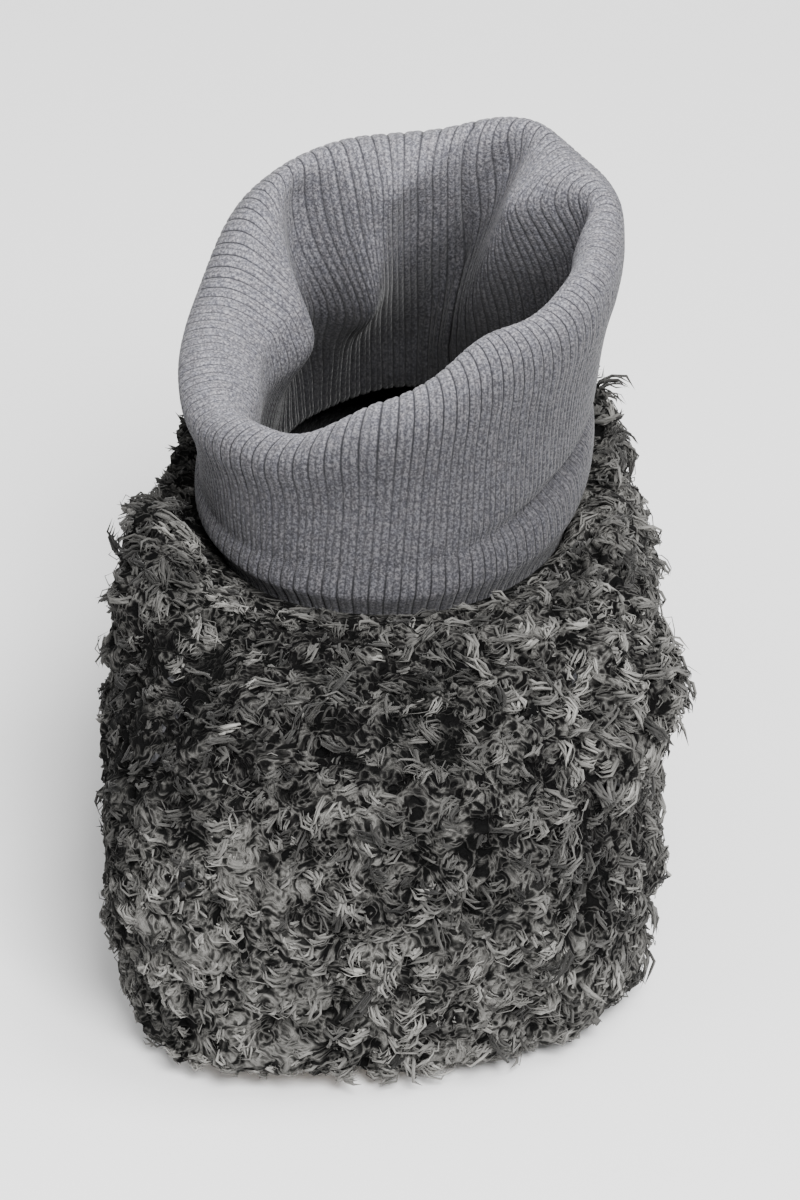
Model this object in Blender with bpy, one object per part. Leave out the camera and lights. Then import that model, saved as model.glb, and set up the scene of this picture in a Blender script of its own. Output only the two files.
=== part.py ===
"""Fleece baby slipper, the left shoe: a curly fleece upper, a turned rib-knit cuff, an insole and a rubber sole.

Sizes are in millimetres, and MM turns them into metres as a mesh is made. The toe points to -Y, the outer side of the
foot is +X and the sole stands on Z = 0. Angles run round the shoe: 0 is the toe, 90 degrees the outer side and 180
the heel.
"""

import math
import random
from collections import namedtuple

import bmesh
import bpy
from mathutils import Matrix, Vector

MM = 0.001
WELD = 1e-6
GAP = 0.3  # between pieces that are sewn or glued together
BELOW = 2.0  # how far a cutter reaches below the sole

# Sole: outline, thickness and the lift of its underside
SOLE_LENGTH = 115.0
SOLE_HALF_WIDTH = 24.2  # at mid length
SOLE_TAPER = 3.2  # wider by this towards the toe and narrower towards the heel
SOLE_SQUARENESS = 2.6
SOLE_THICKNESS = 3.2
SOLE_COLUMNS = 60
PLATE_COLUMNS = 40
TOE_SWING = 6.0  # how far the tip of the toe turns to the inner side
TOE_TURN = 6  # a higher power keeps the turn nearer the tip
BALL_SWING = 2.0  # how far the middle of the foot lies to the outer side
TOE_SPRING = 1.6
SPRING_START = -38.0
ARCH_LIFT = 0.5
ARCH_PLACE = 14.0
ARCH_RUN = 15.0
SoleRow = namedtuple("SoleRow", "share grow height")
SOLE_EDGE = (
    SoleRow(1.0, -5.0, 0.0),
    SoleRow(1.0, -2.4, 0.25),
    SoleRow(1.0, -0.8, 0.9),
    SoleRow(1.0, 0.0, 1.8),
    SoleRow(1.0, 0.0, 2.7),
    SoleRow(1.0, -0.6, SOLE_THICKNESS),
)
INNER_SHARES = (0.3, 0.65)  # loops between the middle of the sole and its edge

# Tread: recessed fields between smooth channels, with a bare roundel at the heel
TREAD_MARGIN = 8.0
TREAD_DEPTH = 0.7
CHANNEL_WIDTH = 3.6
CHANNEL_COLUMNS = 72
Channel = namedtuple("Channel", "x y radius")
CHANNELS = (
    Channel(-14.0, -104.0, 140.0),
    Channel(45.0, -20.0, 45.0),
    Channel(-15.0, -35.0, 45.0),
    Channel(-15.0, 50.0, 56.0),
    Channel(4.0, -92.0, 60.0),
)
ROUNDEL_PLACE = 35.0
ROUNDEL_RADIUS = 6.6
ROUNDEL_COLUMNS = 32
ROUNDEL_GROOVE = 0.7
ROUNDEL_GROOVE_DEPTH = 0.4

# Insole
INSOLE_THICKNESS = 2.0
INSOLE_INSET = 0.6
INSOLE_SIDE = 0.7  # share of the thickness below its rounded edge

# Collar: the oval where the cuff comes out of the fleece
COLLAR_HALF_WIDTH = 21.6
COLLAR_HALF_LENGTH = 33.0
COLLAR_PLACE = 9.5
COLLAR_SWING = 0.3  # to the outer side
COLLAR_SQUARENESS = 2.2
COLLAR_WALL = 5.0
COLLAR_DEPTH = 4.6
COLLAR_ROUND = 1.0

# Upper: one section for each row, from the toe to the heel
SEAM_HEIGHT = 1.0
FOOT_SWELL = 0.5  # share of the overhang that is left at the sole's edge
SWELL_FULL = 0.25
SWELL_FADE = 0.45
LINING_SWELL = 1.2
UpperSection = namedtuple("UpperSection", "angle topline overhang fullness")
UPPER_SECTIONS = (
    UpperSection(0, 46.0, 5.5, 2.4),
    UpperSection(38, 46.0, 9.0, 2.6),
    UpperSection(65, 46.0, 8.2, 2.7),
    UpperSection(100, 47.5, 4.8, 2.7),
    UpperSection(140, 49.5, 4.6, 2.6),
    UpperSection(180, 51.0, 5.0, 2.5),
)
LOBE_STEEPNESS = 1.5
Lobe = namedtuple("Lobe", "angle rise spread tall out up")
LOBES = (
    Lobe(63, 0.60, 11, 0.15, 6.8, 0.6),  # the vamp's top corner on the outer side
    Lobe(-60, 0.85, 18, 0.16, 3.2, 7.0),  # and on the inner side, where it is pushed up
    Lobe(58, 0.07, 15, 0.18, 5.0, 0.0),  # the full outer corner of the toe
    Lobe(20, 0.15, 17, 0.30, -2.4, 0.0),  # beside it the toe slants back
    Lobe(-24, 0.10, 14, 0.25, -1.4, 0.0),  # and it is rounder on the inner side
    Lobe(102, 0.74, 22, 0.20, -3.2, 0.0),  # the side draws in behind the outer top corner
    Lobe(-56, 0.35, 34, 0.35, -1.8, 0.0),  # and is flatter on the inner side
)
LOCKS_AROUND = 26
LOCK_ROWS = 7
LOCK_DEPTH = 2.0
LOCK_DROOP = 0.018
LOCK_UNEVEN = 0.3
LOCK_SMALLEST = 0.4
LOCK_LARGEST = 1.2
LOCK_AT_SOLE = 0.3  # share of its relief that a lock keeps at the sole's edge
LOCK_SEED = 17
LOCK_RIDGE = (0.0, 0.7, 1.0, 0.7)  # across one lock
LOCK_SLOPE = (0.7, 1.0, 0.35)  # from the hanging tip of a lock up to its root
LINING_ROWS = 5

# Cuff
CUFF_COLUMNS = 84
CUFF_TUCK = 6.0
RIM_HALF_WIDTH = 24.0
RIM_HALF_LENGTH = 28.5
RIM_PLACE = 9.0
RIM_SWING = 1.2  # to the outer side
RIM_SQUARENESS = 2.4
RIM_HEIGHT = 72.0
RIM_TILT = 11.0
RIM_HIGHEST = 148.0
RimBend = namedtuple("RimBend", "angle width push rise")
RIM_BENDS = (
    RimBend(38, 30, 3.4, 2.4),  # the front leans back and stands higher on the outer side
    RimBend(-8, 46, 1.6, 2.8),
    RimBend(-138, 26, -0.4, 1.2),  # the back stands higher on the inner side
)
CuffRow = namedtuple("CuffRow", "share tuck outset fold")
CUFF_ROWS = (
    CuffRow(0.0, 1.0, -0.2, 0.0),
    CuffRow(0.0, 0.0, 0.0, 0.0),
    CuffRow(0.14, 0.0, 2.2, 0.0),
    CuffRow(0.25, 0.0, 1.4, 0.0),
    CuffRow(0.42, 0.0, 1.8, 0.1),
    CuffRow(0.64, 0.0, 2.1, 0.1),
    CuffRow(0.83, 0.0, 3.3, 0.1),
    CuffRow(0.95, 0.0, 2.8, 0.1),
    CuffRow(1.0, 0.0, 0.6, 0.2),
    CuffRow(0.95, 0.0, -1.8, 0.5),
    CuffRow(0.83, 0.0, -2.8, 1.0),
    CuffRow(0.58, 0.0, -2.4, 1.0),
    CuffRow(0.28, 0.0, -2.6, 0.8),
    CuffRow(0.0, 0.0, -3.2, 0.3),
    CuffRow(0.0, 1.0, -3.4, 0.0),
)
CuffFold = namedtuple("CuffFold", "angle width depth")
CUFF_FOLDS = (
    CuffFold(-132, 22, 6.6),
    CuffFold(-170, 7, -1.4),
    CuffFold(146, 10, 4.4),
    CuffFold(122, 8, -0.9),
    CuffFold(-78, 18, 3.4),
    CuffFold(4, 34, 2.4),
)

FLEECE_GREY = (0.075, 0.072, 0.068, 1.0)
KNIT_GREY = (0.15, 0.147, 0.162, 1.0)
SOLE_BEIGE = (0.39, 0.35, 0.31, 1.0)
INSOLE_GREY = (0.10, 0.10, 0.105, 1.0)


def ease(share):
    """A smooth step from 0 to 1."""
    share = min(1.0, max(0.0, share))
    return share * share * (3.0 - 2.0 * share)


def signed_power(value, exponent):
    """A power that keeps the sign of its base."""
    return math.copysign(abs(value) ** exponent, value)


def oval(angle, half_width, half_length, squareness):
    """A point of a superellipse, from its toe end at angle 0."""
    exponent = 2.0 / squareness
    x = half_width * signed_power(math.sin(angle), exponent)
    y = -half_length * signed_power(math.cos(angle), exponent)
    return Vector((x, y))


def sole_point(angle, grow=0.0):
    """A point of the sole's outline, or of the outline grown by some millimetres."""
    half_width = SOLE_HALF_WIDTH + SOLE_TAPER * math.cos(angle) + grow
    point = oval(angle, half_width, SOLE_LENGTH / 2 + grow, SOLE_SQUARENESS)
    toe_share = (1.0 + math.cos(angle)) / 2
    point.x += BALL_SWING * math.sin(math.pi * toe_share) - TOE_SWING * toe_share**TOE_TURN
    return point


def collar_point(angle, grow=0.0):
    """A point of the cuff's outside at the topline, or of that oval grown."""
    point = oval(angle, COLLAR_HALF_WIDTH + grow, COLLAR_HALF_LENGTH + grow, COLLAR_SQUARENESS)
    return point + Vector((COLLAR_SWING, COLLAR_PLACE))


def rim_point(angle, grow):
    """A point of the oval under the cuff's rim, grown."""
    point = oval(angle, RIM_HALF_WIDTH + grow, RIM_HALF_LENGTH + grow, RIM_SQUARENESS)
    return point + Vector((RIM_SWING, RIM_PLACE))


def outward(angle):
    """The way out from the sole's edge, in plan."""
    return (sole_point(angle, 1.0) - sole_point(angle)).normalized()


def lift(y):
    """How far the underside stands off the floor: the arch and the spring of the toe."""
    arch = abs(y - ARCH_PLACE) / ARCH_RUN
    rise = 0.0
    if arch < 1.0:
        rise = ARCH_LIFT * (1.0 + math.cos(math.pi * arch)) / 2
    if y < SPRING_START:
        run = SOLE_LENGTH / 2 + SPRING_START
        rise += TOE_SPRING * ((SPRING_START - y) / run) ** 2
    return rise


def degrees_between(first, second):
    """The smaller angle between two directions given in degrees."""
    return abs((first - second + 180.0) % 360.0 - 180.0)


def upper_section(angle):
    """The upper's sizes at an angle, eased between the rows of its table."""
    place = degrees_between(math.degrees(angle), 0.0)
    for low, high in zip(UPPER_SECTIONS, UPPER_SECTIONS[1:]):
        if place <= high.angle:
            break
    share = ease((place - low.angle) / (high.angle - low.angle))
    sizes = (a + (b - a) * share for a, b in zip(low, high))
    return UpperSection(*sizes)


def arc_shares(rise, fullness):
    """How far a section has gone across to the collar and up to the topline."""
    turn = rise * math.pi / 2
    across = 1.0 - abs(math.cos(turn)) ** (2.0 / fullness)
    up = math.sin(turn) ** (2.0 / fullness)
    return across, up


def lobe_swell(angle, rise):
    """How far the rounded corners of the vamp and toe stand out from the sides and up."""
    out = 0.0
    up = 0.0
    for lobe in LOBES:
        around = degrees_between(math.degrees(angle), lobe.angle) / lobe.spread
        above = (rise - lobe.rise) / lobe.tall
        share = math.exp(-((around * around + above * above) ** LOBE_STEEPNESS))
        out += lobe.out * share
        up += lobe.up * share
    return out, up


def fleece_face(angle, rise):
    """The outside of the upper without its locks: rise is 0 at the sole and 1 at the topline."""
    sizes = upper_section(angle)
    across, up = arc_shares(rise, sizes.fullness)
    swell = FOOT_SWELL + (1.0 - FOOT_SWELL) * ease(rise / SWELL_FULL)
    swell *= 1.0 - ease((rise - SWELL_FADE) / (1.0 - SWELL_FADE))
    foot = sole_point(angle)
    top = collar_point(angle, COLLAR_WALL)
    lobe_out, lobe_up = lobe_swell(angle, rise)
    out = sizes.overhang * swell + lobe_out
    plan = foot + (top - foot) * across + outward(angle) * out
    seam = SEAM_HEIGHT + lift(foot.y)
    return Vector((plan.x, plan.y, seam + (sizes.topline - seam) * up + lobe_up))


def lining_face(angle, rise):
    """The inside of the upper, from the sole's edge to the collar."""
    sizes = upper_section(angle)
    across, up = arc_shares(rise, sizes.fullness)
    foot = sole_point(angle, GAP)
    top = collar_point(angle, GAP)
    plan = foot + (top - foot) * across + outward(angle) * LINING_SWELL * math.sin(math.pi * rise)
    seam = SEAM_HEIGHT + lift(foot.y)
    return Vector((plan.x, plan.y, seam + (sizes.topline - COLLAR_DEPTH - seam) * up))


def fleece_normal(angle, rise):
    """The way out of the fleece at a place."""
    step = 0.01
    around = fleece_face(angle + step, rise) - fleece_face(angle - step, rise)
    upwards = fleece_face(angle, min(1.0, rise + step)) - fleece_face(angle, max(0.0, rise - step))
    return around.cross(upwards).normalized()


def lock_relief(column, row, lock_sizes):
    """How far a lock of fleece stands out at a column and row of the upper's mesh."""
    lock_row, step = divmod(row, len(LOCK_SLOPE))
    stagger = (lock_row % 2) * len(LOCK_RIDGE) // 2
    lock, side = divmod(column + stagger, len(LOCK_RIDGE))
    size = lock_sizes[lock_row % LOCK_ROWS][lock % LOCKS_AROUND]
    return size * LOCK_RIDGE[side] * LOCK_SLOPE[step]


def upper_loop(angle, column, lock_sizes, chance):
    """The section of the upper's wall: up the fleece, over the topline and down the lining."""
    rows = LOCK_ROWS * len(LOCK_SLOPE)
    points = []
    for row in range(rows):
        rise = row / rows
        relief = lock_relief(column, row, lock_sizes) + chance.uniform(0.0, LOCK_UNEVEN)
        if row == 0:
            relief *= LOCK_AT_SOLE
        hung = max(0.0, rise - LOCK_DROOP * relief)
        out = fleece_normal(angle, hung) * LOCK_DEPTH * relief
        if row == 0:
            out.z = 0.0
        points.append(fleece_face(angle, hung) + out)
    topline = upper_section(angle).topline
    for wall in (COLLAR_WALL, COLLAR_WALL / 2):
        plan = collar_point(angle, wall + GAP)
        points.append(Vector((plan.x, plan.y, topline)))
    plan = collar_point(angle, GAP)
    points.append(Vector((plan.x, plan.y, topline - COLLAR_ROUND)))
    for row in range(LINING_ROWS, -1, -1):
        points.append(lining_face(angle, row / LINING_ROWS))
    return points


def rim_bend(angle):
    """How far the cuff's soft rim is pushed in, and how far it rises, at an angle."""
    push = 0.0
    rise = 0.0
    for bend in RIM_BENDS:
        away = degrees_between(math.degrees(angle), bend.angle) / bend.width
        push += bend.push * math.exp(-away * away)
        rise += bend.rise * math.exp(-away * away)
    return push, rise


def rim_height(angle):
    """The height of the cuff's uneven rim."""
    return RIM_HEIGHT + RIM_TILT * math.cos(angle - math.radians(RIM_HIGHEST)) + rim_bend(angle)[1]


def fold_depth(angle):
    """How far the soft folds push the cuff's inside towards its middle."""
    depth = 0.0
    for fold in CUFF_FOLDS:
        away = degrees_between(math.degrees(angle), fold.angle) / fold.width
        depth += fold.depth * math.exp(-away * away)
    return depth


def cuff_loop(angle):
    """The section of the cuff: up the outside, over the rolled rim and down the inside."""
    topline = upper_section(angle).topline
    height = rim_height(angle) - topline
    points = []
    for row in CUFF_ROWS:
        outset = row.outset - row.fold * fold_depth(angle)
        low = collar_point(angle, outset)
        high = rim_point(angle, outset - rim_bend(angle)[0])
        plan = low.lerp(high, row.share)
        points.append(Vector((plan.x, plan.y, topline - CUFF_TUCK * row.tuck + height * row.share)))
    return points


def material(name, colour, roughness):
    """A plain material for one of the shoe's stuffs."""
    made = bpy.data.materials.new(name)
    made.use_nodes = True
    shader = made.node_tree.nodes["Principled BSDF"]
    shader.inputs["Base Color"].default_value = colour
    shader.inputs["Roughness"].default_value = roughness
    return made


def add_object(name, bm, collection, stuff=None):
    """Closes a mesh's normals outwards and puts it into a collection."""
    bmesh.ops.recalc_face_normals(bm, faces=bm.faces)
    mesh = bpy.data.meshes.new(name)
    bm.to_mesh(mesh)
    bm.free()
    made = bpy.data.objects.new(name, mesh)
    if stuff:
        mesh.materials.append(stuff)
    collection.objects.link(made)
    return made


def swept_grid(columns, rows, point_at):
    """A grid bent round the shoe and welded where it meets itself."""
    bm = bmesh.new()
    bmesh.ops.create_grid(bm, x_segments=columns, y_segments=rows, size=0.5)
    for vert in bm.verts:
        column = round((vert.co.x + 0.5) * columns) % columns
        row = round((vert.co.y + 0.5) * rows)
        vert.co = point_at(column, row) * MM
    bmesh.ops.remove_doubles(bm, verts=bm.verts, dist=WELD)
    return bm


def ring_solid(name, loops, collection, stuff=None):
    """A solid ring from its closed sections, one for each column round the shoe."""
    rows = len(loops[0])
    bm = swept_grid(len(loops), rows, lambda column, row: loops[column][row % rows])
    return add_object(name, bm, collection, stuff)


def sole_stack(name, columns, rows, collection, stuff=None):
    """A plate with the sole's outline, from loops that run over its underside, edge and top."""
    angles = [2 * math.pi * column / columns for column in range(columns)]

    def point_at(column, row):
        plan = sole_point(angles[column], rows[row].grow) * rows[row].share
        return Vector((plan.x, plan.y, rows[row].height + lift(plan.y)))

    bm = swept_grid(columns, len(rows) - 1, point_at)
    bmesh.ops.holes_fill(bm, edges=[edge for edge in bm.edges if edge.is_boundary])
    bmesh.ops.triangulate(bm, faces=bm.faces)
    return add_object(name, bm, collection, stuff)


def with_inner_loops(edge):
    """Adds the loops that close an edge's rows over the middle, below and above."""
    below = [SoleRow(share, edge[0].grow, edge[0].height) for share in INNER_SHARES]
    above = [SoleRow(share, edge[-1].grow, edge[-1].height) for share in reversed(INNER_SHARES)]
    return below + list(edge) + above


def flat_ring(name, centre, inner, outer, top, columns, collection):
    """A flat ring that stands from under the sole up to a height, as a cutter."""
    loops = []
    for column in range(columns):
        angle = 2 * math.pi * column / columns
        way = Vector((math.cos(angle), math.sin(angle)))
        loop = []
        for radius, height in ((inner, -BELOW), (outer, -BELOW), (outer, top), (inner, top)):
            plan = centre + way * radius
            loop.append(Vector((plan.x, plan.y, height)))
        loops.append(loop)
    return ring_solid(name, loops, collection)


def disc(name, centre, radius, top, columns, collection):
    """A round peg that stands from under the sole up to a height, as a cutter."""
    bm = bmesh.new()
    height = top + BELOW
    place = Matrix.Translation(Vector((centre.x, centre.y, top - height / 2)) * MM)
    bmesh.ops.create_cone(
        bm,
        cap_ends=True,
        segments=columns,
        radius1=radius * MM,
        radius2=radius * MM,
        depth=height * MM,
        matrix=place,
    )
    return add_object(name, bm, collection)


def cut(target, cutter):
    """Takes a cutter's shape out of a piece."""
    modifier = target.modifiers.new(cutter.name, "BOOLEAN")
    modifier.operation = "DIFFERENCE"
    modifier.solver = "EXACT"
    modifier.object = cutter


def build_sole(parts, cutters, rubber):
    """The outsole with its recessed tread fields and the bare roundel."""
    sole = sole_stack("outsole", SOLE_COLUMNS, with_inner_loops(SOLE_EDGE), parts, rubber)
    field_edge = (SoleRow(1.0, -TREAD_MARGIN, -BELOW), SoleRow(1.0, -TREAD_MARGIN, TREAD_DEPTH))
    fields = sole_stack("tread_fields", PLATE_COLUMNS, with_inner_loops(field_edge), cutters)
    half = CHANNEL_WIDTH / 2
    for number, channel in enumerate(CHANNELS):
        centre = Vector((channel.x, channel.y))
        bar = flat_ring(
            f"channel_{number}",
            centre,
            channel.radius - half,
            channel.radius + half,
            SOLE_THICKNESS,
            CHANNEL_COLUMNS,
            cutters,
        )
        cut(fields, bar)
    heel = Vector((0.0, ROUNDEL_PLACE))
    cut(fields, disc("roundel", heel, ROUNDEL_RADIUS, SOLE_THICKNESS, ROUNDEL_COLUMNS, cutters))
    cut(sole, fields)
    inner = ROUNDEL_RADIUS - 2 * ROUNDEL_GROOVE
    groove = flat_ring(
        "roundel_groove",
        heel,
        inner,
        inner + ROUNDEL_GROOVE,
        ROUNDEL_GROOVE_DEPTH,
        ROUNDEL_COLUMNS,
        cutters,
    )
    cut(sole, groove)


def build_insole(parts, cloth):
    """The insole that lies on the sole inside the upper."""
    bottom = SOLE_THICKNESS + GAP
    edge = (
        SoleRow(1.0, -INSOLE_INSET, bottom),
        SoleRow(1.0, -INSOLE_INSET, bottom + INSOLE_THICKNESS * INSOLE_SIDE),
        SoleRow(1.0, -INSOLE_INSET * 2, bottom + INSOLE_THICKNESS),
    )
    sole_stack("insole", PLATE_COLUMNS, with_inner_loops(edge), parts, cloth)


def build_upper(parts, fleece):
    """The upper, one hollow wall that is open at the collar and underneath."""
    chance = random.Random(LOCK_SEED)
    lock_sizes = []
    for _ in range(LOCK_ROWS):
        lock_sizes.append([chance.uniform(LOCK_SMALLEST, LOCK_LARGEST) for _ in range(LOCKS_AROUND)])
    columns = LOCKS_AROUND * len(LOCK_RIDGE)
    loops = []
    for column in range(columns):
        loops.append(upper_loop(2 * math.pi * column / columns, column, lock_sizes, chance))
    ring_solid("fleece_upper", loops, parts, fleece)


def build_cuff(parts, knit):
    """The turned cuff of rib knit, one thick soft ring."""
    loops = [cuff_loop(2 * math.pi * column / CUFF_COLUMNS) for column in range(CUFF_COLUMNS)]
    ring_solid("rib_cuff", loops, parts, knit)


def centre_on_floor(parts, cutters):
    """Moves everything so that the middle of the box round the parts stands over the origin."""
    corners = [vert.co for piece in parts.objects for vert in piece.data.vertices]
    middle_x = (min(point.x for point in corners) + max(point.x for point in corners)) / 2
    middle_y = (min(point.y for point in corners) + max(point.y for point in corners)) / 2
    for piece in list(parts.objects) + list(cutters.objects):
        piece.location = (-middle_x, -middle_y, 0.0)


def main():
    for old in list(bpy.data.objects):
        bpy.data.objects.remove(old, do_unlink=True)
    parts = bpy.data.collections.new("fleece_slipper")
    cutters = bpy.data.collections.new("cutters")
    for collection in (parts, cutters):
        bpy.context.scene.collection.children.link(collection)
    fleece = material("curly_fleece", FLEECE_GREY, 0.95)
    knit = material("rib_knit", KNIT_GREY, 0.9)
    rubber = material("sole_rubber", SOLE_BEIGE, 0.6)
    cloth = material("insole_cloth", INSOLE_GREY, 0.9)
    build_sole(parts, cutters, rubber)
    build_insole(parts, cloth)
    build_upper(parts, fleece)
    build_cuff(parts, knit)
    centre_on_floor(parts, cutters)
    for cutter in cutters.objects:
        cutter.display_type = "WIRE"
        cutter.hide_render = True


if __name__ == "__main__":
    main()
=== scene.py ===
"""Fleece baby slipper dressed for its picture: curly pile, rib-knit cuff, soft insole and moulded tread.

Sizes are in millimetres, and MM turns them into metres as a mesh is made. Patterns, lamps and the floor are
in metres. The toe points to -Y, the outer side of the foot is +X and the sole stands on Z = 0. Angles run
round the shoe in degrees: 0 is the toe, 90 the outer side and 180 the heel.
"""

import math

import bpy
import numpy as np
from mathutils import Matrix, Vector, noise


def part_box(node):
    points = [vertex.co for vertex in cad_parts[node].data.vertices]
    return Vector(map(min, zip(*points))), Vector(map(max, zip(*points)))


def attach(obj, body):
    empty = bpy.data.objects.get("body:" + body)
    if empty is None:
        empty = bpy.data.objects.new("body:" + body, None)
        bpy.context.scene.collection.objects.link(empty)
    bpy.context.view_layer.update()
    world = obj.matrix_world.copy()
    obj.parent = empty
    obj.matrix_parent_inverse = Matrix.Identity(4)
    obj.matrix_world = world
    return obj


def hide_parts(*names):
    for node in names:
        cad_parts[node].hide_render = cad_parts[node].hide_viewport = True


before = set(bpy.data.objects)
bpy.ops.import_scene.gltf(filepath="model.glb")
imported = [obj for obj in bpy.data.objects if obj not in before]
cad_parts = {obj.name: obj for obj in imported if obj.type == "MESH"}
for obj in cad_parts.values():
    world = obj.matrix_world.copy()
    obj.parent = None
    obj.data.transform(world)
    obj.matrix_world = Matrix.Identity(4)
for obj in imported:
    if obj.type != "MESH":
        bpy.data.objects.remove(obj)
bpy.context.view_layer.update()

MM = 0.001
WELD = 1e-6
TINY = 1e-9
ROUNDING = 2
BAKE_MAP = "OFBake"

# Picture: where the camera stands, and how large the shoe is in it
IMAGE_HEIGHT = 1200
CAMERA_AZIMUTH = 5.3
CAMERA_ELEVATION = 27.0
CAMERA_DISTANCE = 800.0
PIXELS_PER_MM = 8.2
CAMERA_TARGET = (-1.0, 0.0, 34.5)
SENSOR = 36.0

# Studio: the floor, the sky, and each lamp's name, place, size and power
FLOOR_SIZE = 6.0
SKY_STRENGTH = 0.75
LAMPS = (
    ("key", (0.4, -1.0, 1.05), 0.6, 50.0),
    ("fill", (-0.9, -0.6, 0.7), 0.9, 4.0),
    ("top", (0.5, -0.1, 1.3), 0.7, 14.0),
)
LAMP_AIM = (0.0, 0.0, 0.03)

# Sole outline, as in the solids
SOLE_LENGTH = 115.0
SOLE_HALF_WIDTH = 24.2
SOLE_TAPER = 3.2
SOLE_SQUARENESS = 2.6
TOE_SWING = 6.0
TOE_TURN = 6
BALL_SWING = 2.0
TOE_SPRING = 1.6
SPRING_START = -38.0
ARCH_LIFT = 0.5
ARCH_PLACE = 14.0
ARCH_RUN = 15.0
SOLE_COLUMNS = 60

# Tread: wave ribs in recessed fields, parted by a bare roundel and by channels on arcs (centre and radius)
TREAD_MARGIN = 8.0
TREAD_DEPTH = 0.7
TREAD_HALF_WIDTH = 26.0
TREAD_LENGTH = (-64.0, 60.0)
TREAD_EDGE_POINTS = 721
CHANNEL_WIDTH = 3.6
CHANNELS = (
    (-14.0, -104.0, 140.0),
    (45.0, -20.0, 45.0),
    (-15.0, -35.0, 45.0),
    (-15.0, 50.0, 56.0),
    (4.0, -92.0, 60.0),
)
ROUNDEL_PLACE = 35.0
ROUNDEL_RADIUS = 6.6
WAVE_LENGTH = 11.0
WAVE_HEIGHT = 4.2
RIB_PITCH = 1.75
RIB_STEP = 0.5
RIB_CLEARANCE = 0.35
RIB_LEAST = 3
RIB_EDGE_ANGLE = 35.0
# A rib's section: half widths of its foot and crown, how deep the one is sunk and how high the other stands
RIB_FOOT = 0.62
RIB_CROWN = 0.34
RIB_SINK = 0.05
RIB_STAND = 0.04
RIB_SECTION = (
    (-RIB_FOOT, TREAD_DEPTH + RIB_SINK),
    (-RIB_CROWN, RIB_STAND),
    (RIB_CROWN, RIB_STAND),
    (RIB_FOOT, TREAD_DEPTH + RIB_SINK),
)

# Insole: half width and half length, depth and top edge of its foot bed, and its spread across and along
FOOT_BED = (22.0, 52.0)
FOOT_BED_DEPTH = 0.35
FOOT_BED_TOP = (4.4, 0.8)
INSOLE_EASE = (1.03, 1.012)

# Collar: height of the fleece's edge by angle, and its oval by half width, half length and squareness
TOPLINE = ((0, 46.0), (38, 46.0), (65, 46.0), (100, 47.5), (140, 49.5), (180, 51.0))
COLLAR_OVAL = (21.6, 33.0, 2.2)
COLLAR_CENTRE = (0.3, 9.5)
COLLAR_POINTS = 7201

# Cuff rim: its oval, its tilted height, and slight waves by size, count and start
RIM_OVAL = (24.0, 28.5, 2.4)
RIM_CENTRE = (1.2, 9.0)
RIM_HEIGHT = 72.0
RIM_TILT = 11.0
RIM_HIGHEST = 148.0
RIM_WAVES = ((0.4, 5, 0.6), (0.35, 9, 2.0))
# Where the soft rim is bent: angle, half width, push to the middle and rise
RIM_BENDS = ((38, 37, 4.8, 5.4), (-8, 46, 2.0, 3.4), (-138, 26, -0.4, 1.2))

# Cuff section: share of the height, tuck into the collar, outset and how much of the folds it takes
CUFF_TUCK = 6.0
CUFF_SECTION = (
    (0.0, 1.0, -0.2, 0.0),
    (0.0, 0.3, 0.2, 0.0),
    (0.03, 0.0, 1.5, 0.0),
    (0.09, 0.0, 2.3, 0.0),
    (0.16, 0.0, 2.2, 0.0),
    (0.215, 0.0, 1.9, 0.0),
    (0.25, 0.0, 1.7, 0.0),
    (0.30, 0.0, 1.7, 0.05),
    (0.42, 0.0, 1.9, 0.1),
    (0.56, 0.0, 2.1, 0.1),
    (0.70, 0.0, 2.6, 0.1),
    (0.82, 0.0, 3.4, 0.1),
    (0.90, 0.0, 3.4, 0.1),
    (0.96, 0.0, 2.7, 0.1),
    (0.995, 0.0, 1.1, 0.2),
    (1.0, 0.0, -0.4, 0.3),
    (0.97, 0.0, -1.7, 0.45),
    (0.92, 0.0, -2.4, 0.65),
    (0.83, 0.0, -2.8, 1.0),
    (0.70, 0.0, -2.6, 1.0),
    (0.56, 0.0, -2.4, 1.0),
    (0.42, 0.0, -2.5, 0.9),
    (0.28, 0.0, -2.6, 0.75),
    (0.14, 0.0, -2.9, 0.5),
    (0.0, 0.0, -3.2, 0.3),
    (0.0, 0.5, -3.4, 0.1),
    (0.0, 1.0, -3.4, 0.0),
)
CUFF_ROWS = 60

# Soft folds inside the cuff: angle at the rim, its drift and bow towards the foot, half width and depth
CUFF_FOLDS = (
    (-108, 0, -4, 17, 5.4),
    (-146, 8, 0, 10, -3.4),
    (-177, 30, 0, 12, 4.8),
    (128, 40, 0, 11, 5.0),
    (108, 34, 0, 7, -2.6),
    (149, 34, 0, 7, -2.8),
    (-78, 0, 0, 18, 3.6),
    (4, 0, 0, 34, 2.4),
)
# Folds that hang over the foot's way in: angle, share of the height, half width, half height and depth
DEEP_FOLDS = ((-153, 0.36, 23, 0.2, 7.0), (-110, 0.58, 19, 0.22, 3.2))

# Crease above the turned band: it runs all round, and goes deeper and rises at the outer front
CREASE_PLACE = 0.24
CREASE_WIDTH = 0.035
CREASE_DEPTH = 0.15
CREASE_ANGLE = 70.0
CREASE_SPREAD = 32.0
CREASE_DEEPER = 2.0
CREASE_RISE = 0.05
# Dent in the front of the cuff: angle, half width, share of the height, half height and depth
FRONT_DENT = (-6.0, 24.0, 0.6, 0.17, 0.9)
DENT_OUTSET = 0.5

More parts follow.
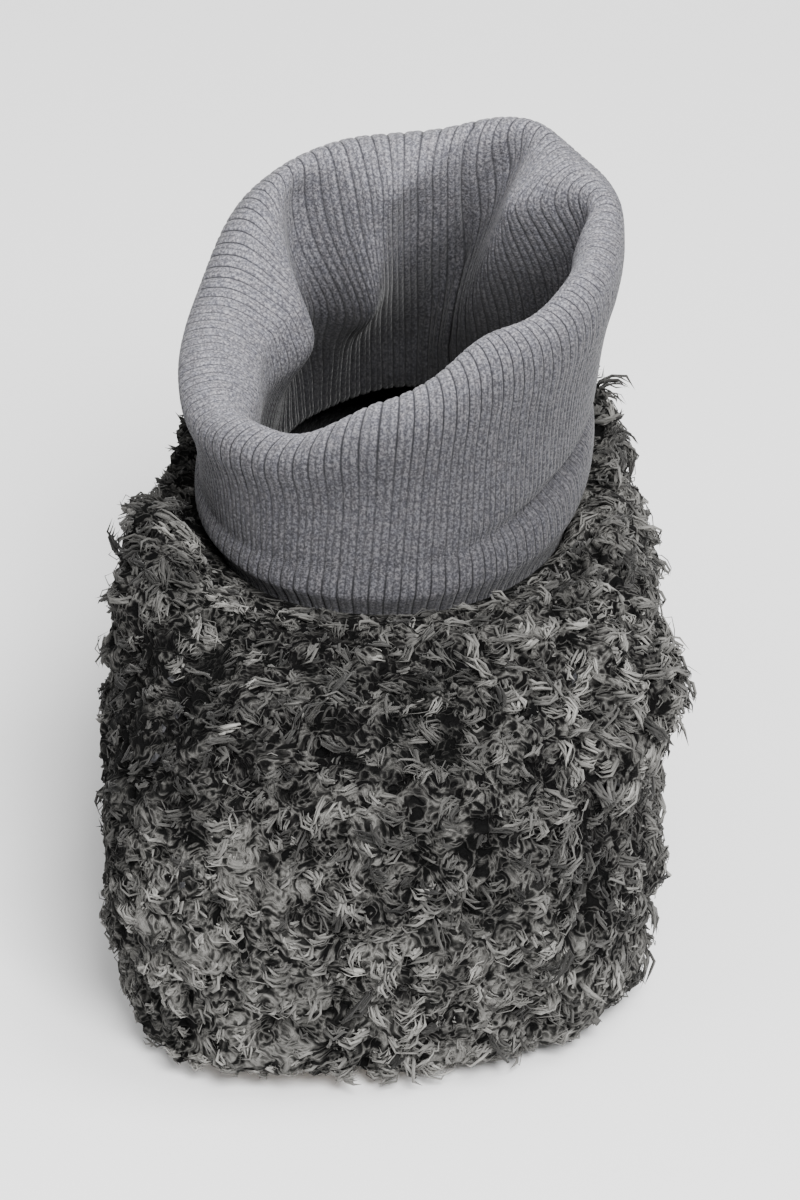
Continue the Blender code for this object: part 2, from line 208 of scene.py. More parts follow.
# Ribs: the lines between them and the wales along them, by column, and how the cuff's middle changes them
CUFF_RIBS = 104
GROOVE_PROFILE = (1.0, 0.3, 0.06, 0.02, 0.06, 0.02, 0.06, 0.3)
WALE_PROFILE = (0.0, 0.05, 0.0, 0.25, 1.0, 0.25, 0.0, 0.05)
RIB_COLUMNS = len(GROOVE_PROFILE)
GROOVE_DEPTH = 0.27
GROOVE_EASE = 0.13
WALE_DEPTH = 0.04
WALE_GAIN = 0.1
CUFF_MIDDLE = 0.48
CUFF_MIDDLE_REACH = 0.2
SEAM_ANGLE = 168.0
SEAM_WIDTH = 1.0
SEAM_DEPTH = 0.55
SEAM_OUTSET = 0.3

# Rib knit: melange yarn, its tints, and the dark between ribs and along the wales
YARN_SHADES = ((0.0, (0.06, 0.0587, 0.0665)), (0.45, (0.116, 0.1138, 0.1245)), (1.0, (0.22, 0.216, 0.229)))
YARN_TINTS = ((0.35, (0.92, 0.93, 0.97)), (0.6, (1.0, 0.995, 1.0)), (0.75, (1.06, 1.03, 1.04)))
RIB_GAP = (0.012, 0.012, 0.015, 1.0)
WALE_GAP = (0.03, 0.03, 0.034, 1.0)
WALE_SHARE = 0.42
KNIT_COURSES = 84.0
# How dark the lines between the ribs are, along the section from the foot over the rim and down inside
RIB_LINES = (
    (0.0, 0.9), (0.15, 0.85), (0.22, 0.25), (0.36, 0.22),
    (0.42, 0.8), (0.54, 0.9), (0.64, 0.45), (1.0, 0.35),
)
# Painted light and shade on the yarn along the section: a darker outer wall, a painted highlight along the
# top of the rim, a paler inner face that stands in for light, and painted shade deep inside towards the foot
PAINTED_KNIT_LIGHT_AND_SHADE = (
    (0.0, 0.41), (0.36, 0.41), (0.44, 0.5), (0.49, 0.85), (0.53, 1.3), (0.58, 1.3),
    (0.63, 1.2), (0.68, 1.02), (0.72, 0.8), (0.77, 0.38), (0.86, 0.12), (1.0, 0.08),
)

# Brushed cloths: dark fibres, light fibres and how fine they are
LINING_CLOTH = ((0.012, 0.012, 0.013), (0.04, 0.04, 0.043), 1300.0)
INSOLE_CLOTH = ((0.014, 0.014, 0.015), (0.046, 0.046, 0.049), 1100.0)

# Rubber and floor: shades over a broad mottle, and the rubber's scuffs
RUBBER_SHADES = ((0.3, (0.35, 0.314, 0.28)), (0.7, (0.42, 0.378, 0.338)))
RUBBER_SCUFF = (0.24, 0.22, 0.2, 1.0)
FLOOR_SHADES = ((0.3, (0.86, 0.86, 0.86)), (0.7, (0.89, 0.89, 0.89)))

# Lining: the foot's middle line that it looks at, its top, and how far it is drawn in near the sole
SPINE_REACH = 35.0
SPINE_HEIGHT = 20.0
LINING_TOP = 44.0
LINING_TUCK = 0.9
TUCK_EDGE = (8.0, -3.5)

# Space that the cuff takes up, from the collar's oval to the rim's, and what counts as below it
ROOM_START = 48.0
ROOM_RUN = 26.0
ROOM_SWELL = 2.4
ROOM_SQUARENESS = 2.3
ROOM_LEAST = 0.2
ROOM_FLOOR = 42.0
ROOM_BELOW = 50.0

# Fleece ground: size and height of its soft clumps and curls, and where it starts to rise
CLUMP_SIZE = 5.5
CLUMP_HEIGHT = 0.9
CURL_SIZE = 2.6
CURL_HEIGHT = 0.9
CURL_SHARPNESS = 2.4
CURL_SWIRL = 2.0
SWIRL_SIZE = 3.2
RISE_AT_CUFF = (0.3, 2.0)
RISE_AT_FLOOR = (1.0, 3.0)
# How the ground's heights turn into tone, and its colours by depth: darker where it lies low, a painted shade
GROUND_TONE = 0.28
GROUND_RANGE = 2.2
GROUND_SHADES = (
    (0.36, (0.003, 0.003, 0.003)),
    (0.48, (0.014, 0.0137, 0.0131)),
    (0.6, (0.055, 0.0538, 0.0508)),
    (0.78, (0.148, 0.1446, 0.1362)),
)

# How the fleece's tone changes over the shoe: paler towards the floor, with painted shade under the cuff and
# on the inner side; axis, start and run of the change, and its amount
TONE_AND_SHADE_SLOPES = ((2, 26.0, -20.0, 0.14), (2, 32.0, 12.0, -0.1), (0, -18.0, -12.0, -0.2))
# Painted light and shade on the pile: paler where it catches the light on the lobes, beside the cuff and low
# on the toe, darker where shade falls below the lobes: place, reach and change of tone
PAINTED_PILE_LIGHT_AND_SHADE = (
    (26, -33, 42, 11, 0.28),
    (26, -45, 27, 10, -0.25),
    (24, 5, 46, 11, 0.2),
    (-27, -22, 49, 10, 0.17),
    (-25, -50, 37, 10, -0.25),
    (-23, -58, 22, 11, 0.32),
)

# Fleece pile: where its locks stand, and the pieces that they are joined in
FLEECE_SEED = 23
LOCK_COUNT = 4900
LOCK_SPACING = 1.22
LOCK_TRIES = 9
ROOT_FLOOR = 0.9
ROOT_DEPTH = 0.8
PILE_FLOOR = 0.5
CUFF_GAP = 0.2
PIECE_NAMES = (
    "fleece_inner_heel", "fleece_inner_side", "fleece_toe", "fleece_outer_side", "fleece_outer_heel",
)
noise.seed_set(FLEECE_SEED)

# How a lock lies: it hangs down and away from the cuff, flares near the floor, and curls to one hand
LEAN_STRETCH = (1.0, 0.8)
LEAN_OUT = 0.35
FLARE_EDGE = (8.0, -7.0)
FLARE_OUT = 0.5
FLARE_UP = 1.3
TURN_DRIFT = (2.2, 8.0, (7.0, 3.0, 1.0))
TURN_SCATTER = 0.6
TURN_RANGE = (0.8, 3.0)
RISE_START = (0.6, 1.25)
RISE_END = (-1.3, -0.2)
RISE_CURVE = 0.8

# How long a lock is: longer beside the cuff and on the outer lobe, shorter low down and on the inner side
LOCK_LENGTH = (2.7, 4.6)
CROWN_EDGE = (46.5, 4.0)
CROWN_BACK = 4.0
CROWN_RISE = 0.3
CROWN_LONGER = 0.45
LOBE_PLACE = (27.0, -22.0, 33.0)
LOBE_REACH = (9.0, 12.0, 8.0)
LOBE_LONGER = 0.35
LOW_EDGE = (2.0, 9.0)
LOW_SHORTER = 0.25
INNER_EDGE = (4.0, -30.0)
INNER_SHORTER = 0.25
LENGTH_MOTTLE = (0.4, 7.0, (2.0, 9.0, 5.0))

# Strands: each lock is a bundle of crimped strands that opens and closes again, with a few strays
LOCK_STRANDS = 6
STRAY_STRANDS = 2
LOCK_WIDTH = 0.62
LOCK_CORE = 0.02
LOCK_TWIST = 1.2
LOCK_FLATNESS = 0.7
LOCK_GATHER = 0.75
LOCK_BELLY = 0.45
LOCK_TAPER = 0.45
BELLY_CURVE = 0.7
STRAY_REACH = (1.2, 2.4)
STRAND_TWIST = 0.5
STRAND_PHASE = 6.3
STRAND_SLIDE = 0.15
CRIMP_ROOT = 0.1
CRIMP_GAIN = 0.15
STRAND_POINTS = 5
STRAND_SIDES = 3
STRAND_RADIUS = 0.15
STRAND_SPREAD = (0.65, 1.35)
STRAY_RADIUS = 0.055
STRAND_THIN = 0.55
STRAND_SWELL = 0.75
SWELL_SPAN = (0.15, 0.95)

# Wool: tips from black to pale, the dark of the roots, and how each lock and strand takes its tone
WOOL_TIPS = (
    (0.0, (0.006, 0.006, 0.006)),
    (0.25, (0.026, 0.0255, 0.0243)),
    (0.5, (0.07, 0.0685, 0.0648)),
    (0.75, (0.146, 0.1427, 0.1343)),
    (1.0, (0.27, 0.2635, 0.247)),
)
WOOL_ROOT = (0.012, 0.0118, 0.0114, 1.0)
WOOL_SHEEN = (0.8, 0.79, 0.77, 1.0)
LOCK_TONE = 0.47
LOCK_MOTTLE = ((0.3, 7.0), (0.22, 3.0))
# Painted light: locks are paler where the ground stands out
CLUMP_PAINTED_LIGHT = 0.24
LOCK_SCATTER = 0.08
LOCK_TONES = (0.04, 0.88)
BLACK_SHARE = 0.08
BLACK_TONES = (0.1, 0.3)
STRAND_SCATTER = 0.05
STRAND_TONES = (0.02, 0.97)
MAP_WIDTH = 0.006
MAP_MARGIN = 0.01


def ease(value, start, run):
    """A smooth step from 0 at the start to 1 a run further on. A run below 0 steps the other way."""
    share = np.clip((value - start) / run, 0.0, 1.0)
    return share * share * (3.0 - 2.0 * share)


def bell(away, width):
    """A soft bump: 1 in its middle, and fading over its half width."""
    return np.exp(-((away / width) ** 2))


def turned_away(degrees, angle):
    """How far directions are turned from an angle, from -180 to 180 degrees."""
    return (degrees - angle + 180.0) % 360.0 - 180.0


def signed_power(value, exponent):
    """A power that keeps the sign of its base."""
    return np.sign(value) * np.abs(value) ** exponent


def unit(vectors):
    """Vectors of length 1 in the same directions."""
    return vectors / np.maximum(np.linalg.norm(vectors, axis=-1, keepdims=True), TINY)


def soft_noise(places, amount, size, start=(0.0, 0.0, 0.0)):
    """A soft noise over places, up to about an amount, with waves of a size."""
    return amount * np.array([noise.noise(Vector(place) / size + Vector(start)) for place in places])


def oval(angle, half_width, half_length, squareness):
    """Points of a superellipse, from its toe end at angle 0."""
    exponent = 2.0 / squareness
    x = half_width * signed_power(np.sin(angle), exponent)
    y = -half_length * signed_power(np.cos(angle), exponent)
    return np.stack((x, y), -1)


def sole_points(angle, grow=0.0):
    """Points of the sole's outline, or of the outline grown by some millimetres."""
    half_width = SOLE_HALF_WIDTH + SOLE_TAPER * np.cos(angle) + grow
    plan = oval(angle, half_width, SOLE_LENGTH / 2 + grow, SOLE_SQUARENESS)
    toe_share = (1.0 + np.cos(angle)) / 2
    plan[..., 0] += BALL_SWING * np.sin(np.pi * toe_share) - TOE_SWING * toe_share**TOE_TURN
    return plan


def lift(y):
    """How far the underside stands off the floor: the arch and the spring of the toe."""
    arch = np.clip(np.abs(y - ARCH_PLACE) / ARCH_RUN, 0.0, 1.0)
    rise = ARCH_LIFT * (1.0 + np.cos(np.pi * arch)) / 2
    spring = np.maximum(SPRING_START - y, 0.0) / (SOLE_LENGTH / 2 + SPRING_START)
    return rise + TOE_SPRING * spring**2


def frame_shift():
    """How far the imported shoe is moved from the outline's own middle, in plan."""
    low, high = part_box("outsole")
    plan = sole_points(np.arange(SOLE_COLUMNS) * 2 * np.pi / SOLE_COLUMNS)
    found = np.array((low.x + high.x, low.y + high.y)) / 2 / MM
    return found - (plan.min(0) + plan.max(0)) / 2


SHIFT = frame_shift()


def active_only(piece):
    """Selects one object and makes it active."""
    bpy.ops.object.select_all(action="DESELECT")
    piece.select_set(True)
    bpy.context.view_layer.objects.active = piece


def rows_of(items, name):
    """Three values for each item of a mesh, as rows."""
    rows = np.empty(len(items) * 3, np.float32)
    items.foreach_get(name, rows)
    return rows.reshape(-1, 3).astype(float)


def vertex_places(mesh):
    """A mesh's points in millimetres."""
    return rows_of(mesh.vertices, "co") / MM


def move_vertices(mesh, places):
    """Puts a mesh's points at places in millimetres."""
    mesh.vertices.foreach_set("co", (places * MM).astype(np.float32).ravel())
    mesh.update()


def link_mesh(name, points, faces):
    """A new smooth object from points in millimetres and faces of one kind."""
    mesh = bpy.data.meshes.new(name)
    mesh.vertices.add(len(points))
    mesh.loops.add(faces.size)
    mesh.loops.foreach_set("vertex_index", faces.astype(np.int32).ravel())
    mesh.polygons.add(len(faces))
    mesh.polygons.foreach_set("loop_start", np.arange(len(faces), dtype=np.int32) * faces.shape[1])
    mesh.polygons.foreach_set("use_smooth", np.ones(len(faces), dtype=bool))
    mesh.update(calc_edges=True)
    move_vertices(mesh, points)
    made = bpy.data.objects.new(name, mesh)
    bpy.context.scene.collection.objects.link(made)
    return made


def bake_map(mesh, places):
    """Gives a mesh its map, one place for each corner of its faces."""
    layer = mesh.uv_layers.new(name=BAKE_MAP)
    layer.data.foreach_set("uv", places.astype(np.float32).ravel())


def finish_shell(piece):
    """Turns a closed shell's faces outwards and shades it smooth."""
    active_only(piece)
    bpy.ops.object.mode_set(mode="EDIT")
    bpy.ops.mesh.select_all(action="SELECT")
    bpy.ops.mesh.normals_make_consistent(inside=False)
    bpy.ops.object.mode_set(mode="OBJECT")
    bpy.ops.object.shade_smooth()


def soft_copy(node, name):
    """A merged, rounded copy of a CAD node to dress in its place."""
    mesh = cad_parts[node].data.copy()
    piece = bpy.data.objects.new(name, mesh)
    mesh.name = name
    mesh.materials.clear()
    bpy.context.scene.collection.objects.link(piece)
    active_only(piece)
    bpy.ops.object.mode_set(mode="EDIT")
    bpy.ops.mesh.select_all(action="SELECT")
    bpy.ops.mesh.remove_doubles(threshold=WELD)
    bpy.ops.mesh.tris_convert_to_quads()
    bpy.ops.object.mode_set(mode="OBJECT")
    rounding = piece.modifiers.new("rounding", "SUBSURF")
    rounding.levels = ROUNDING
    rounding.render_levels = ROUNDING
    bpy.ops.object.modifier_apply(modifier=rounding.name)
    finish_shell(piece)
    return piece


def add_node(tree, kind, settings=None, **inputs):
    """Adds a node, sets it up and fills its inputs, by name or by number as in _0, with values or links."""
    made = tree.nodes.new(kind)
    for name, value in (settings or {}).items():
        setattr(made, name, value)
    for name, value in inputs.items():
        socket = made.inputs[int(name[1:]) if name[1:].isdigit() else name.replace("_", " ")]
        if isinstance(value, bpy.types.NodeSocket):
            tree.links.new(value, socket)
        else:
            socket.default_value = value
    return made


def maths(tree, operation, first, second=0.0):
    """A math node's result."""
    return add_node(tree, "ShaderNodeMath", {"operation": operation}, _0=first, _1=second).outputs[0]


def vector_maths(tree, operation, *values):
    """A vector math node's result."""
    given = {f"_{index}": value for index, value in enumerate(values)}
    return add_node(tree, "ShaderNodeVectorMath", {"operation": operation}, **given).outputs[0]


def weighted(tree, *terms):
    """The sum of values, each times its weight."""
    total = 0.0
    for value, weight in terms:
        total = maths(tree, "ADD", maths(tree, "MULTIPLY", value, weight), total)
    return total


def repeated(tree, value, count):
    """A value that runs from 0 to 1 again and again, so many times."""
    return maths(tree, "FRACT", maths(tree, "MULTIPLY", value, count))


def from_middle(tree, value, middle=0.5):
    """How far a value is from its middle."""
    return maths(tree, "ABSOLUTE", maths(tree, "SUBTRACT", value, middle))


def ranged(tree, value, low=0.0, high=1.0, to_low=0.0, to_high=1.0, soft=False):
    """A value taken from one range to another and held at its ends, which may be soft."""
    settings = {"interpolation_type": "SMOOTHSTEP" if soft else "LINEAR"}
    inputs = {"From_Min": low, "From_Max": high, "To_Min": to_low, "To_Max": to_high}
    return add_node(tree, "ShaderNodeMapRange", settings, Value=value, **inputs).outputs[0]


def mixed(tree, factor, first, second, blend="MIX"):
    """A colour mix's result."""
    settings = {"data_type": "RGBA", "blend_type": blend}
    return add_node(tree, "ShaderNodeMix", settings, _0=factor, _6=first, _7=second).outputs[2]


def ramp_node(tree, factor, stops):
    """A colour ramp from (place, colour) stops."""
    made = add_node(tree, "ShaderNodeValToRGB", Fac=factor)
    elements = made.color_ramp.elements
    while len(elements) < len(stops):
        elements.new(0.5)
    for element, (place, colour) in zip(elements, stops):
        element.position = place
        element.color = (*colour, 1.0)
    return made.outputs["Color"]


def grey_ramp(tree, factor, stops):
    """A ramp of greys from (place, grey) stops."""
    return ramp_node(tree, factor, [(place, (grey, grey, grey)) for place, grey in stops])


def noise_value(tree, places, scale, detail=3.0, roughness=0.55):
    """A soft noise over places, from 0 to 1."""
    inputs = {"Scale": scale, "Detail": detail, "Roughness": roughness}
    return add_node(tree, "ShaderNodeTexNoise", Vector=places, **inputs).outputs["Fac"]


def object_places(tree):
    """The piece's own coordinates."""
    return tree.nodes.new("ShaderNodeTexCoord").outputs["Object"]


def map_places(tree):
    """The piece's map, whole and as its two directions."""
    made = add_node(tree, "ShaderNodeUVMap", {"uv_map": BAKE_MAP})
    split = add_node(tree, "ShaderNodeSeparateXYZ", Vector=made.outputs["UV"])
    return made.outputs["UV"], split.outputs["X"], split.outputs["Y"]


def stretched(tree, places, scale):
    """Places scaled by their own amount in each direction."""
    return add_node(tree, "ShaderNodeMapping", Vector=places, Scale=scale).outputs[0]


def new_material(name, **values):
    """A material, its node tree and its Principled shader, with values set on the shader."""
    made = bpy.data.materials.new(name)
    made.use_nodes = True
    tree = made.node_tree
    shader = tree.nodes["Principled BSDF"]
    for socket, value in values.items():
        shader.inputs[socket.replace("_", " ")].default_value = value
    return made, tree, shader


def coloured(tree, shader, colour, roughness):
    """Puts a colour and a roughness into the shader."""
    tree.links.new(colour, shader.inputs["Base Color"])
    tree.links.new(roughness, shader.inputs["Roughness"])


def bumped(tree, shader, height, strength, distance):
    """Puts a height into the shader's normal."""
    made = add_node(tree, "ShaderNodeBump", Height=height, Strength=strength, Distance=distance)
    tree.links.new(made.outputs["Normal"], shader.inputs["Normal"])


def brushed_nap_group():
    """Short brushed fibres: a fleck mask for colour and a height for bump, over the places it is given."""
    tree = bpy.data.node_groups.new("brushed_nap", "ShaderNodeTree")
    for name, way, kind in (
        ("Places", "INPUT", "NodeSocketVector"),
        ("Fineness", "INPUT", "NodeSocketFloat"),
        ("Flecks", "OUTPUT", "NodeSocketFloat"),
        ("Height", "OUTPUT", "NodeSocketFloat"),
    ):
        tree.interface.new_socket(name, in_out=way, socket_type=kind)
    given = tree.nodes.new("NodeGroupInput").outputs
    result = tree.nodes.new("NodeGroupOutput").inputs
    flecks = noise_value(tree, given["Places"], given["Fineness"], detail=2.0, roughness=0.7)
    coarser = maths(tree, "MULTIPLY", given["Fineness"], 0.18)
    broad = noise_value(tree, given["Places"], coarser, roughness=0.6)
    tree.links.new(ranged(tree, flecks, low=0.38, high=0.64), result["Flecks"])
    tree.links.new(weighted(tree, (flecks, 1.0), (broad, 0.8)), result["Height"])
    return tree


NAP = brushed_nap_group()


def nap_node(tree, places, fineness):
    """Places the brushed nap in a material: its flecks and its height."""
    made = add_node(tree, "ShaderNodeGroup", {"node_tree": NAP}, Places=places, Fineness=fineness)
    return made.outputs["Flecks"], made.outputs["Height"]


def curly_wool():
    """The pile's wool: near black at the root, from black to pale grey at the tip."""
    made, tree, shader = new_material(
        "curly_wool", Specular_IOR_Level=0.1, Sheen_Weight=0.1, Sheen_Roughness=0.5, Sheen_Tint=WOOL_SHEEN
    )
    both, tone, along = map_places(tree)
    shown = ranged(tree, along, low=-0.05, high=0.52, soft=True)
    wool = mixed(tree, shown, WOOL_ROOT, ramp_node(tree, tone, WOOL_TIPS))
    streaks = noise_value(tree, stretched(tree, both, (560.0, 2.6, 1.0)), scale=1.0, detail=2.0)
    lit = ranged(tree, streaks, low=0.3, high=0.7, to_low=0.65, to_high=1.25)
    wool = mixed(tree, 1.0, wool, lit, "MULTIPLY")
    coloured(tree, shader, wool, ranged(tree, streaks, to_low=0.72, to_high=0.95))
    bumped(tree, shader, streaks, strength=0.7, distance=0.00025)
    return made


def fleece_ground():
    """The depth of the pile: small swirling curls in shade, seen between the locks."""
    made, tree, shader = new_material("fleece_ground", Specular_IOR_Level=0.05)
    places = object_places(tree)
    swirl = add_node(tree, "ShaderNodeTexNoise", Vector=places, Scale=240.0, Detail=1.0).outputs["Color"]
    swirl = vector_maths(tree, "SUBTRACT", swirl, (0.5, 0.5, 0.5))
    curled = vector_maths(tree, "MULTIPLY_ADD", swirl, (0.012, 0.012, 0.012), places)
    winding = from_middle(tree, noise_value(tree, curled, scale=520.0, detail=1.5))
    curls = ranged(tree, winding, high=0.16, to_low=1.0, to_high=0.0)
    fibres = noise_value(tree, curled, scale=4200.0, detail=2.0, roughness=0.7)
    standing = add_node(tree, "ShaderNodeAttribute", {"attribute_name": "pile_height"}).outputs["Fac"]
    # Colour by depth: pale along the curls, darker where the ground lies low as painted shade, with the noted
    # painted light and shade
    depth = weighted(tree, (curls, 0.36), (standing, 0.42), (fibres, 0.22))
    colour = ramp_node(tree, depth, GROUND_SHADES)
    coloured(tree, shader, colour, ranged(tree, curls, to_low=0.8, to_high=0.97))
    bumped(tree, shader, depth, strength=1.0, distance=0.0016)
    return made


def brushed_cloth(name, dark, light, fineness):
    """A brushed melange cloth, for the lining and the insole."""
    made, tree, shader = new_material(name, Specular_IOR_Level=0.1, Sheen_Weight=0.1, Sheen_Roughness=0.5)
    places = object_places(tree)
    flecks, height = nap_node(tree, places, fineness)
    broad = noise_value(tree, places, scale=90.0)
    shade = ranged(tree, broad, low=0.3, high=0.7, to_low=0.8, to_high=1.12)
    colour = mixed(tree, 1.0, ramp_node(tree, flecks, ((0.0, dark), (1.0, light))), shade, "MULTIPLY")
    coloured(tree, shader, colour, ranged(tree, flecks, to_low=0.82, to_high=0.97))
    bumped(tree, shader, height, strength=0.7, distance=0.0004)
    return made


def rib_knit():
    """Melange rib knit: flecked yarn, dark lines between the ribs and fine slanting stitches, with painted
    light and shade along the section.
    """
    made, tree, shader = new_material(
        "melange_rib", Specular_IOR_Level=0.12, Sheen_Weight=0.12, Sheen_Roughness=0.45
    )
    places = object_places(tree)
    around, along = map_places(tree)[1:]
    flecks, height = nap_node(tree, places, 3400.0)
    tint = ramp_node(tree, noise_value(tree, places, scale=900.0, detail=2.0), YARN_TINTS)
    yarn = mixed(tree, 1.0, ramp_node(tree, flecks, YARN_SHADES), tint, "MULTIPLY")
    side = from_middle(tree, repeated(tree, around, float(CUFF_RIBS)))
    line = ranged(tree, side, low=0.41, high=0.48, soft=True)
    line = maths(tree, "MULTIPLY", line, grey_ramp(tree, along, RIB_LINES))
    yarn = mixed(tree, line, yarn, RIB_GAP)
    fine = ranged(tree, from_middle(tree, side, 0.25), low=0.12, high=0.25, soft=True)
    yarn = mixed(tree, maths(tree, "MULTIPLY", fine, WALE_SHARE), yarn, WALE_GAP)
    # Painted light and shade: darker outer wall, highlight along the rim's top, paler inside top, shade deep
    # in the cuff
    yarn = mixed(tree, 1.0, yarn, grey_ramp(tree, along, PAINTED_KNIT_LIGHT_AND_SHADE), "MULTIPLY")
    coloured(tree, shader, yarn, ranged(tree, flecks, to_low=0.78, to_high=0.95))
    slant = from_middle(tree, repeated(tree, around, 2.0 * CUFF_RIBS))
    course = weighted(tree, (along, KNIT_COURSES), (slant, 1.0))
    loop = from_middle(tree, maths(tree, "FRACT", course))
    split = maths(tree, "POWER", maths(tree, "MULTIPLY", slant, 2.0), 4.0)
    stitch = weighted(tree, (loop, 0.6), (height, 0.7), (split, -0.6))
    bumped(tree, shader, stitch, strength=0.5, distance=0.00024)
    return made


def sole_rubber():
    """Warm grey rubber with faint mottling, scuffs and a matt moulded grain."""
    made, tree, shader = new_material("moulded_rubber", Specular_IOR_Level=0.4)
    places = object_places(tree)
    broad = noise_value(tree, places, scale=60.0, detail=4.0)
    grain = noise_value(tree, places, scale=2800.0, detail=2.0)
    scuffs = noise_value(tree, stretched(tree, places, (420.0, 70.0, 200.0)), 1.0, detail=4.0, roughness=0.7)
    worn = ranged(tree, scuffs, low=0.6, high=0.78, to_high=0.35)
    colour = mixed(tree, worn, ramp_node(tree, broad, RUBBER_SHADES), RUBBER_SCUFF)
    rough = ranged(tree, scuffs, low=0.3, high=0.7, to_low=0.48, to_high=0.7)
    coloured(tree, shader, colour, rough)
    bumped(tree, shader, weighted(tree, (grain, 1.0), (scuffs, 0.5)), strength=0.25, distance=0.0002)
    return made


def studio_floor():
    """A plain pale floor with a trace of unevenness."""
    made, tree, shader = new_material("pale_floor", Specular_IOR_Level=0.2)
    broad = noise_value(tree, object_places(tree), scale=3.0, detail=2.0)
    colour = ramp_node(tree, broad, FLOOR_SHADES)
    coloured(tree, shader, colour, ranged(tree, broad, to_low=0.7, to_high=0.8))
    return made


def set_up(name, data, place, view):
    """Puts a lamp or the camera at a place, turned to look along a direction."""
    made = bpy.data.objects.new(name, data)
    bpy.context.scene.collection.objects.link(made)
    made.location = place
    made.rotation_euler = view.to_track_quat("-Z", "Y").to_euler()
    return made


def lay_floor():
    """The pale floor that the shoe stands on."""
    bpy.ops.object.select_all(action="DESELECT")
    bpy.ops.mesh.primitive_plane_add(size=FLOOR_SIZE, location=(0.0, 0.0, 0.0))
    floor = bpy.context.object
    floor.name = "floor"
    floor.data.materials.append(studio_floor())


def light_studio():
    """A white sky and soft square lamps."""
    world = bpy.data.worlds.new("studio")
    bpy.context.scene.world = world
    world.use_nodes = True
    sky = world.node_tree.nodes["Background"]
    sky.inputs["Color"].default_value = (1.0, 1.0, 1.0, 1.0)
    sky.inputs["Strength"].default_value = SKY_STRENGTH
    for name, place, size, power in LAMPS:
        lamp = bpy.data.lights.new(name, "AREA")
        lamp.shape = "SQUARE"
        lamp.size = size
        lamp.energy = power
        set_up(name, lamp, place, Vector(LAMP_AIM) - Vector(place))


def place_camera():
    """The camera of the picture."""
    camera = bpy.data.cameras.new("camera")
    camera.sensor_width = SENSOR
    camera.lens = PIXELS_PER_MM * CAMERA_DISTANCE * SENSOR / IMAGE_HEIGHT
    azimuth = math.radians(CAMERA_AZIMUTH)
    elevation = math.radians(CAMERA_ELEVATION)
    level = math.cos(elevation)
    back = Vector((math.sin(azimuth) * level, -math.cos(azimuth) * level, math.sin(elevation)))
    place = (Vector(CAMERA_TARGET) + back * CAMERA_DISTANCE) * MM
    bpy.context.scene.camera = set_up("camera", camera, place, -back)


def dress_outsole(rubber):
    """The CAD outsole keeps its shape and gets its rubber."""
    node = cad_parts["outsole"]
    for slot in node.material_slots:
        slot.material = rubber


def in_tread(plan):
    """True where the underside is recessed for the tread."""
    angle = np.linspace(0.0, 2 * np.pi, TREAD_EDGE_POINTS)
    edge = sole_points(angle, -TREAD_MARGIN - RIB_CLEARANCE)
    inside = np.zeros(len(plan), bool)
    for (x0, y0), (x1, y1) in zip(edge, edge[1:]):
        spans = (y0 > plan[:, 1]) != (y1 > plan[:, 1])
        if y1 != y0:
            crossing = (x1 - x0) * (plan[:, 1] - y0) / (y1 - y0) + x0
            inside ^= spans & (plan[:, 0] < crossing)
    for x, y, radius in CHANNELS:
        away = np.hypot(plan[:, 0] - x, plan[:, 1] - y)
        inside &= np.abs(away - radius) > CHANNEL_WIDTH / 2 + RIB_CLEARANCE
    inside &= np.hypot(plan[:, 0], plan[:, 1] - ROUNDEL_PLACE) > ROUNDEL_RADIUS + RIB_CLEARANCE
    return inside


def add_rib(points, faces, line, across):
    """One run of a wave rib as a closed bar with sloping sides."""
    first = len(points)
    for place, way in zip(line, across):
        floor = lift(place[1])
        for offset, height in RIB_SECTION:
            plan = place + way * offset + SHIFT
            points.append((plan[0], plan[1], floor + height))
    last = len(points) - 4
    for ring in range(first, last, 4):
        for side in range(4):
            a, b = ring + side, ring + (side + 1) % 4
            faces.append((a, b, b + 4, a + 4))
    faces.append((first + 3, first + 2, first + 1, first))
    faces.append((last, last + 1, last + 2, last + 3))


def tread_waves(rubber):
    """Fine wave ribs that stand in the recessed fields, level with the smooth sole."""
    steps = np.arange(-TREAD_HALF_WIDTH, TREAD_HALF_WIDTH + RIB_STEP, RIB_STEP)
    wave = np.abs(((steps / WAVE_LENGTH) % 1.0) * 2.0 - 1.0)
    wave = WAVE_HEIGHT * (0.5 * wave**2 + 0.5 * (1.0 - np.cos(np.pi * wave)) / 2)
    points = []
    faces = []
    for start in np.arange(*TREAD_LENGTH, RIB_PITCH):
        line = np.stack((steps, start + wave), -1)
        slope = np.gradient(line[:, 1], line[:, 0])
        across = unit(np.stack((-slope, np.ones_like(slope)), -1))
        held = np.flatnonzero(in_tread(line))
        for run in np.split(held, np.flatnonzero(np.diff(held) > 1) + 1):
            if len(run) >= RIB_LEAST:
                add_rib(points, faces, line[run], across[run])
    piece = link_mesh("tread_waves", np.array(points), np.array(faces))
    finish_shell(piece)
    bpy.ops.object.shade_smooth_by_angle(angle=math.radians(RIB_EDGE_ANGLE))
    piece.data.materials.append(rubber)
    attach(piece, "root")


def insole_pad():
    """The insole with a soft rounded edge and a shallow foot bed."""
    piece = soft_copy("insole", "insole_pad")
    places = vertex_places(piece.data)
    plan = (places[:, :2] - SHIFT) / FOOT_BED
    middle = np.exp(-np.sum(plan**2, axis=1))
    upper = ease(places[:, 2] - lift(places[:, 1]), *FOOT_BED_TOP)
    places[:, 2] -= FOOT_BED_DEPTH * middle * upper
    places[:, :2] = SHIFT + (places[:, :2] - SHIFT) * INSOLE_EASE
    move_vertices(piece.data, places)
    piece.data.materials.append(brushed_cloth("insole_cloth", *INSOLE_CLOTH))
    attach(piece, "root")
    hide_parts("insole")


